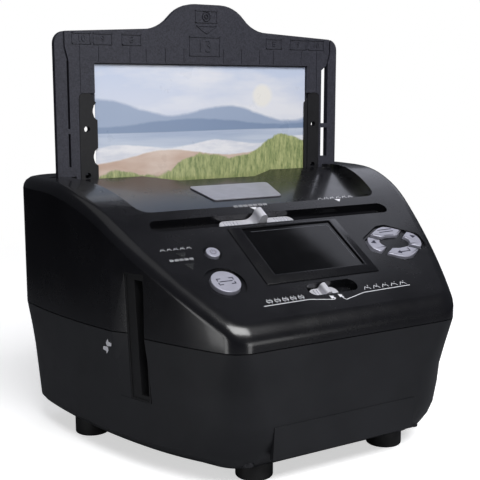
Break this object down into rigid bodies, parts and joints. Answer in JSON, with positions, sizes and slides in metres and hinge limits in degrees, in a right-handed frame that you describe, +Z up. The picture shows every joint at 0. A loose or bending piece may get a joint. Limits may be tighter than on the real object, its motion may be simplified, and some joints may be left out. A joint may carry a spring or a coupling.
{
  "type": "film negative scanner",
  "caption": "Desktop scanner with a sloping control deck, a display, sliding levers, film ports in both sides and an upright print tray that slides down into the case.",
  "frame": {"origin": "on the table under the middle of the case", "axes": "+X to the right seen from the front, +Y to the rear, +Z up"},
  "size_m": [0.2142, 0.169, 0.2294],
  "materials": {
    "gloss_black": "polished black",
    "satin_black": "satin black",
    "inner_black": "matt black",
    "tray_grey": "finely textured charcoal",
    "silver_paint": "satin silver",
    "badge_silver": "brushed, bare",
    "cover_glass": "clear, dark behind",
    "lcd_grey": "matt",
    "lamp_window": "milky",
    "board_green": "solder mask",
    "rod_steel": "ground",
    "light_white": "opal",
    "lens_glass": "coated",
    "print_paper": "glossy photo paper",
    "socket_steel": "plated",
    "screw_steel": "blackened",
    "foot_rubber": "matt"
  },
  "bodies": {
    "case": {"lower_case": "satin_black", "upper_case": "gloss_black", "badge_plate": "badge_silver", "display_bezel": "gloss_black", "display_glass": "cover_glass", "lcd_module": "lcd_grey", "indicator_windows": "lamp_window", "key_board_left": "board_green", "key_board_right": "board_green", "slider_rod": "rod_steel", "camera_housing": "inner_black", "camera_board": "board_green", "film_port_left": "inner_black", "film_port_right": "inner_black", "film_gate": "inner_black", "tray_guide_left": "inner_black", "tray_guide_right": "inner_black", "photo_light_left": "light_white", "photo_light_right": "light_white", "main_board": "board_green", "usb_socket": "socket_steel", "card_slot": "socket_steel", "case_screws": "screw_steel", "rubber_feet": "foot_rubber"},
    "tray": {"photo_tray": "tray_grey", "tray_clip_left": "tray_grey", "tray_clip_right": "tray_grey", "photo_print": "print_paper"},
    "mode_slide": {"mode_lever": "silver_paint", "backlight_carriage": "inner_black", "film_backlight": "light_white"},
    "focus_slide": {"focus_lever": "silver_paint"},
    "lens": {"lens_barrel": "inner_black", "lens_glass": "lens_glass"},
    "scan_key": {"scan_button": "silver_paint"},
    "power_key": {"power_button": "silver_paint"},
    "up_key": {"mode_key": "silver_paint"},
    "down_key": {"enter_key": "silver_paint"},
    "back_key": {"left_key": "silver_paint"},
    "next_key": {"right_key": "silver_paint"}
  },
  "joints": [
    {"name": "tray_lift", "type": "slide", "parent": "case", "child": "tray", "axis": [0, 0, 1], "range_m": [-0.0745, 0.028]},
    {"name": "mode_travel", "type": "slide", "parent": "case", "child": "mode_slide", "axis": [1, 0, 0], "range_m": [0, 0.055]},
    {"name": "focus_travel", "type": "slide", "parent": "case", "child": "focus_slide", "axis": [1, 0, 0], "range_m": [0, 0.006]},
    {"name": "lens_travel", "type": "slide", "parent": "case", "child": "lens", "axis": [0, 1, 0], "range_m": [0, 0.0018]},
    {"name": "scan_press", "type": "slide", "parent": "case", "child": "scan_key", "axis": [0, 0.5075, -0.8616], "range_m": [0, 0.001], "stiffness_N_per_m": 300},
    {"name": "power_press", "type": "slide", "parent": "case", "child": "power_key", "axis": [0, 0.5075, -0.8616], "range_m": [0, 0.001], "stiffness_N_per_m": 300},
    {"name": "up_press", "type": "slide", "parent": "case", "child": "up_key", "axis": [0, 0.5075, -0.8616], "range_m": [0, 0.001], "stiffness_N_per_m": 300},
    {"name": "down_press", "type": "slide", "parent": "case", "child": "down_key", "axis": [0, 0.5075, -0.8616], "range_m": [0, 0.001], "stiffness_N_per_m": 300},
    {"name": "back_press", "type": "slide", "parent": "case", "child": "back_key", "axis": [0, 0.5075, -0.8616], "range_m": [0, 0.001], "stiffness_N_per_m": 300},
    {"name": "next_press", "type": "slide", "parent": "case", "child": "next_key", "axis": [0, 0.5075, -0.8616], "range_m": [0, 0.001], "stiffness_N_per_m": 300}
  ],
  "couplings": [
    {"joint": "lens_travel", "follows": "focus_travel", "ratio": 0.3}
  ]
}
